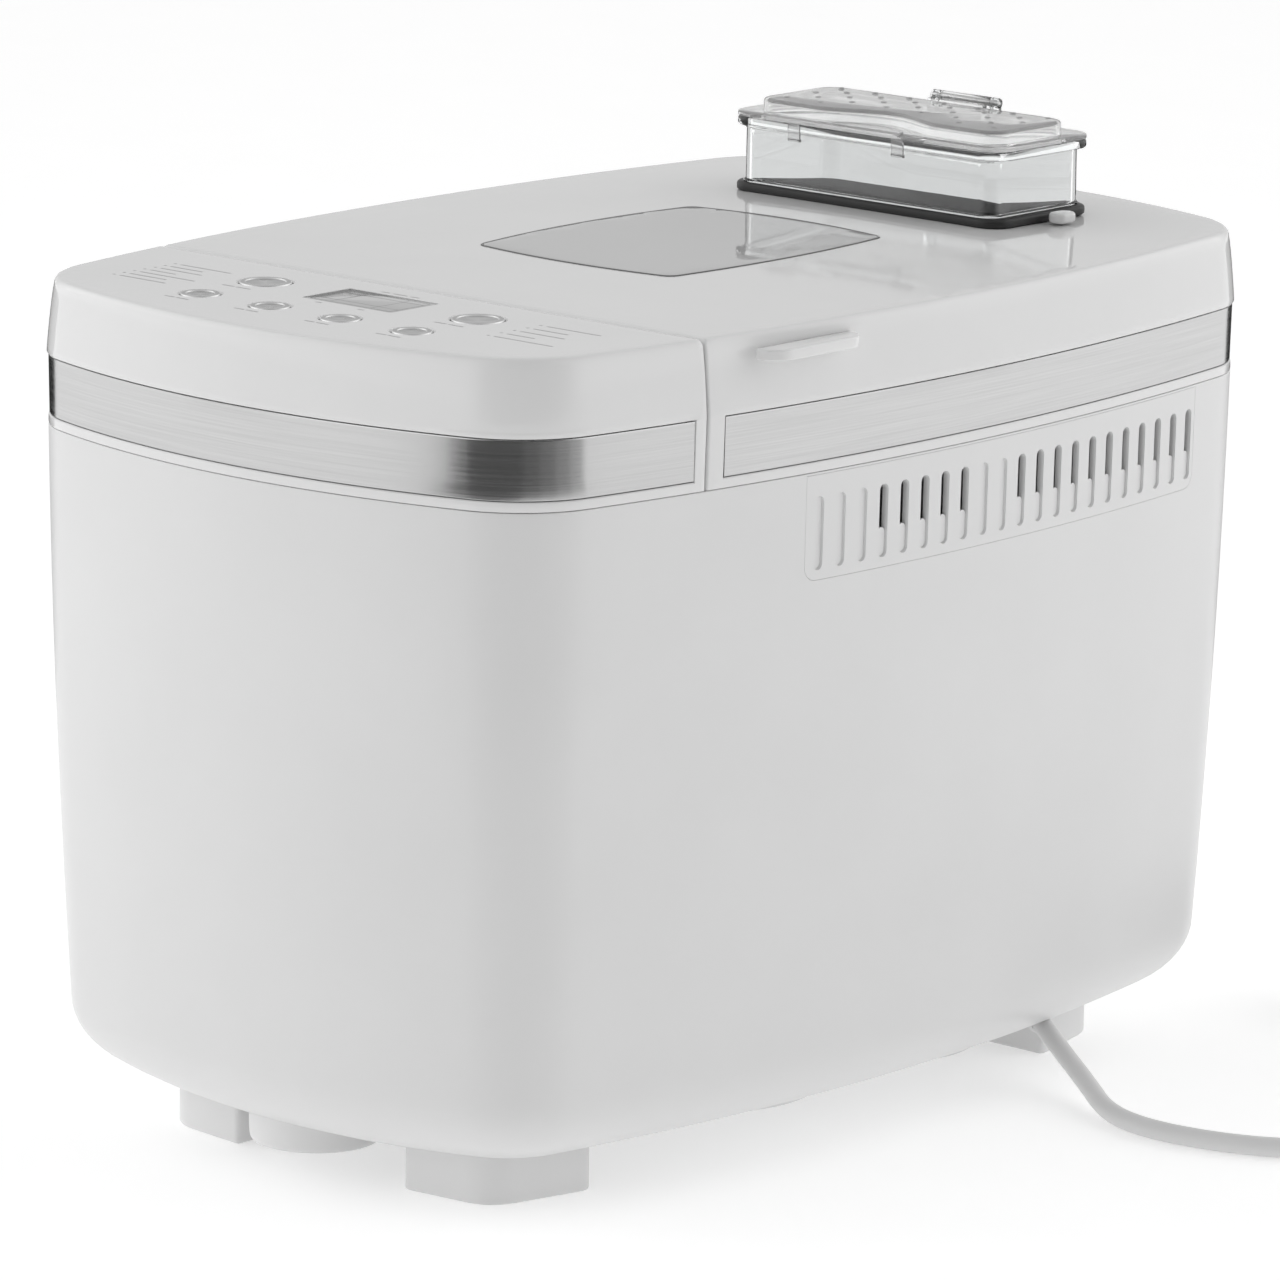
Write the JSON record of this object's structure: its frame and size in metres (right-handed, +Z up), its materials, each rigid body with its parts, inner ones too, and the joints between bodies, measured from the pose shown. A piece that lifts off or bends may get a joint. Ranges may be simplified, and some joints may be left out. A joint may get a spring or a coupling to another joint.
{
  "type": "bread machine",
  "caption": "Free-standing bread machine with a hinged windowed lid, a clear ingredient dispenser on top, a front control panel, side vents and corner feet.",
  "frame": {"origin": "on the surface it stands on, under the middle of the machine without its mains lead", "axes": "+Z up, control panel at the -Y end, lid hinge at the +Y end, cord leaves on the +X side"},
  "size_m": [0.381, 0.4562, 0.3118],
  "materials": {
    "housing_plastic": "white satin injection-moulded plastic",
    "lid_plastic": "white high-gloss plastic",
    "band_steel": "stainless strip, brushed lengthwise",
    "button_chrome": "bright plated plastic",
    "liner_steel": "plain drawn steel sheet",
    "plain_steel": "turned or drawn steel",
    "pan_coating": "dark grey non-stick coating",
    "clear_plastic": "clear moulded plastic",
    "window_glass": "grey-tinted glass",
    "dark_plastic": "dark grey matt plastic",
    "seal_rubber": "soft silicone",
    "belt_rubber": "black reinforced rubber",
    "board": "green circuit board",
    "display": "display window",
    "lead_plastic": "light grey flexible plastic",
    "plug_plastic": "light grey moulded plastic",
    "pulley_plastic": "grey engineering plastic"
  },
  "bodies": {
    "housing": {"outer_housing": "housing_plastic", "vent_panel_right": "housing_plastic", "vent_panel_left": "housing_plastic", "base_plate": "housing_plastic", "foot_front_left": "housing_plastic", "foot_front_right": "housing_plastic", "foot_rear_left": "housing_plastic", "foot_rear_right": "housing_plastic", "motor_end_cover": "housing_plastic", "panel_cover": "housing_plastic", "panel_band": "band_steel", "lcd_window": "display", "control_board": "board", "chamber_liner": "liner_steel", "drive_frame": "liner_steel", "motor": "liner_steel", "lid_hinge_pin": "plain_steel", "heating_element": "plain_steel", "temperature_sensor": "plain_steel", "bearing_front": "plain_steel", "bearing_rear": "plain_steel", "belt_lower": "belt_rubber", "belt_upper": "belt_rubber", "cord_tie": "belt_rubber", "cord_gland": "lead_plastic", "cord_lead": "lead_plastic", "cord_coil": "lead_plastic", "plug_body": "plug_plastic", "plug_pin_left": "button_chrome", "plug_pin_right": "button_chrome"},
    "lid": {"lid_cover": "lid_plastic", "lid_band": "band_steel", "lid_window": "window_glass", "lid_liner": "liner_steel", "lid_seal": "seal_rubber", "lid_tab_right": "lid_plastic", "lid_tab_left": "lid_plastic", "dispenser_flange": "dark_plastic", "dispenser_box": "clear_plastic", "dispenser_hinge_pin": "plain_steel"},
    "dispenser_lid": {"dispenser_lid": "clear_plastic"},
    "dispenser_flap": {"dispenser_flap": "dark_plastic"},
    "dispenser_catch": {"dispenser_catch": "lid_plastic"},
    "pan": {"bread_pan": "pan_coating"},
    "pan_handle": {"pan_handle": "plain_steel"},
    "paddle_front": {"paddle_shaft_front": "plain_steel", "paddle_front": "pan_coating"},
    "paddle_rear": {"paddle_shaft_rear": "plain_steel", "paddle_rear": "pan_coating"},
    "drive_front": {"drive_shaft_front": "plain_steel", "drive_pulley_front": "pulley_plastic"},
    "drive_rear": {"drive_shaft_rear": "plain_steel", "drive_pulley_rear": "pulley_plastic"},
    "motor_rotor": {"motor_pulley": "plain_steel"},
    "button_large_1": {"button_large_1": "button_chrome"},
    "button_large_2": {"button_large_2": "button_chrome"},
    "button_small_1": {"button_small_1": "button_chrome"},
    "button_small_2": {"button_small_2": "button_chrome"},
    "button_small_3": {"button_small_3": "button_chrome"},
    "button_small_4": {"button_small_4": "button_chrome"}
  },
  "joints": [
    {"name": "lid_hinge", "type": "hinge", "parent": "housing", "child": "lid", "pos_m": [0, 0.1972, 0.229], "axis": [-1, 0, 0], "range_deg": [0, 80]},
    {"name": "dispenser_lid_hinge", "type": "hinge", "parent": "lid", "child": "dispenser_lid", "pos_m": [0, 0.1536, 0.31], "axis": [-1, 0, 0], "range_deg": [0, 100]},
    {"name": "dispenser_flap_hinge", "type": "hinge", "parent": "lid", "child": "dispenser_flap", "pos_m": [0, 0.1032, 0.2802], "axis": [-1, 0, 0], "range_deg": [0, 75], "stiffness_Nm_per_rad": 0.02, "springref_deg": -17.19},
    {"name": "dispenser_catch_slide", "type": "slide", "parent": "lid", "child": "dispenser_catch", "axis": [1, 0, 0], "range_m": [0, 0.0025], "stiffness_N_per_m": 300},
    {"name": "button_large_1_press", "type": "slide", "parent": "housing", "child": "button_large_1", "axis": [0, 0, -1], "range_m": [0, 0.0014], "stiffness_N_per_m": 600},
    {"name": "button_large_2_press", "type": "slide", "parent": "housing", "child": "button_large_2", "axis": [0, 0, -1], "range_m": [0, 0.0014], "stiffness_N_per_m": 600},
    {"name": "button_small_1_press", "type": "slide", "parent": "housing", "child": "button_small_1", "axis": [0, 0, -1], "range_m": [0, 0.0014], "stiffness_N_per_m": 600},
    {"name": "button_small_2_press", "type": "slide", "parent": "housing", "child": "button_small_2", "axis": [0, 0, -1], "range_m": [0, 0.0014], "stiffness_N_per_m": 600},
    {"name": "button_small_3_press", "type": "slide", "parent": "housing", "child": "button_small_3", "axis": [0, 0, -1], "range_m": [0, 0.0014], "stiffness_N_per_m": 600},
    {"name": "button_small_4_press", "type": "slide", "parent": "housing", "child": "button_small_4", "axis": [0, 0, -1], "range_m": [0, 0.0014], "stiffness_N_per_m": 600},
    {"name": "pan_lift", "type": "slide", "parent": "housing", "child": "pan", "axis": [0, 0, 1], "range_m": [0, 0.01]},
    {"name": "pan_handle_swing", "type": "hinge", "parent": "pan", "child": "pan_handle", "pos_m": [0, 0.0406, 0.217], "axis": [1, 0, 0], "range_deg": [0, 8]},
    {"name": "drive_spin_front", "type": "hinge", "parent": "housing", "child": "drive_front", "pos_m": [0, -0.0144, 0.04], "axis": [0, 0, 1], "continuous": true},
    {"name": "drive_spin_rear", "type": "hinge", "parent": "housing", "child": "drive_rear", "pos_m": [0, 0.0956, 0.04], "axis": [0, 0, 1], "continuous": true},
    {"name": "motor_spin", "type": "hinge", "parent": "housing", "child": "motor_rotor", "pos_m": [-0.006, -0.1544, 0.03], "axis": [0, 0, 1], "continuous": true},
    {"name": "paddle_spin_front", "type": "hinge", "parent": "pan", "child": "paddle_front", "pos_m": [0, -0.0144, 0.09], "axis": [0, 0, 1], "continuous": true},
    {"name": "paddle_spin_rear", "type": "hinge", "parent": "pan", "child": "paddle_rear", "pos_m": [0, 0.0956, 0.09], "axis": [0, 0, 1], "continuous": true}
  ],
  "couplings": [
    {"joint": "drive_spin_rear", "follows": "drive_spin_front", "ratio": 1},
    {"joint": "motor_spin", "follows": "drive_spin_front", "ratio": 4.6667},
    {"joint": "paddle_spin_front", "follows": "drive_spin_front", "ratio": 1},
    {"joint": "paddle_spin_rear", "follows": "drive_spin_front", "ratio": 1}
  ]
}
